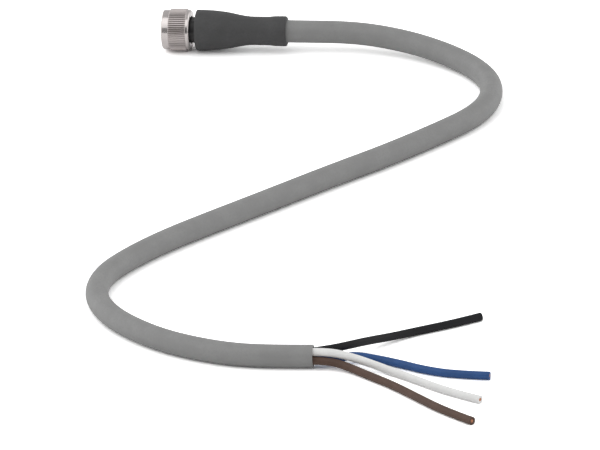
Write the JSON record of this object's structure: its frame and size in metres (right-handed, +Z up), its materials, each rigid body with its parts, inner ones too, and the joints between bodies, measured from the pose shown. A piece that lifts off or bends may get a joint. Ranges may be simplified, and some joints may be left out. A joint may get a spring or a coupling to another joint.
{
  "type": "sensor actuator connector",
  "caption": "Straight female screw-lock sensor cordset: knurled coupling nut, moulded dark grip, grey round cable ending in four free coloured cores.",
  "frame": {"origin": "centre of the insert's mating face, on the connector's axis", "axes": "+X along the connector's axis from the mating face to the cable, +Z up from the surface that the part lies on, which is 5 mm below the axis, and -Y towards the cable's free end"},
  "size_m": [0.1084, 0.2322, 0.01],
  "materials": {
    "nickel": "nickel-plated, bright on the rings and fine on the knurl",
    "carrier_black": "moulded, black, fine grain",
    "seal_rubber": "matt rubber",
    "ring_plastic": "moulded, dark",
    "gold": "gold-plated, bright",
    "copper": "bare copper strands",
    "mould_plastic": "moulded, dark grey",
    "grip_grey": "soft plastic, dark grey, fine matt grain",
    "sheath_grey": "soft plastic, mid grey, satin",
    "core_black": "soft plastic, satin",
    "core_blue": "soft plastic, satin",
    "core_white": "soft plastic, satin",
    "core_brown": "soft plastic, satin"
  },
  "bodies": {
    "connector_body": {"contact_carrier": "carrier_black", "seal_ring": "seal_rubber", "inner_mould": "mould_plastic", "overmould": "grip_grey", "cable_sheath": "sheath_grey", "socket_contact_1": "gold", "socket_contact_2": "gold", "socket_contact_3": "gold", "socket_contact_4": "gold", "conductor_brown": "copper", "core_tail_brown": "core_brown", "core_brown": "core_brown", "conductor_white": "copper", "core_tail_white": "core_white", "core_white": "core_white", "conductor_blue": "copper", "core_tail_blue": "core_blue", "core_blue": "core_blue", "conductor_black": "copper", "core_tail_black": "core_black", "core_black": "core_black"},
    "detent_ring": {"detent_ring": "ring_plastic"},
    "coupling_nut": {"coupling_nut": "nickel"}
  },
  "joints": [
    {"name": "nut_slide", "type": "slide", "parent": "connector_body", "child": "detent_ring", "axis": [1, 0, 0], "range_m": [0, 0.001]},
    {"name": "nut_spin", "type": "hinge", "parent": "detent_ring", "child": "coupling_nut", "pos_m": [0.003, 0, 0], "axis": [1, 0, 0], "continuous": true}
  ]
}
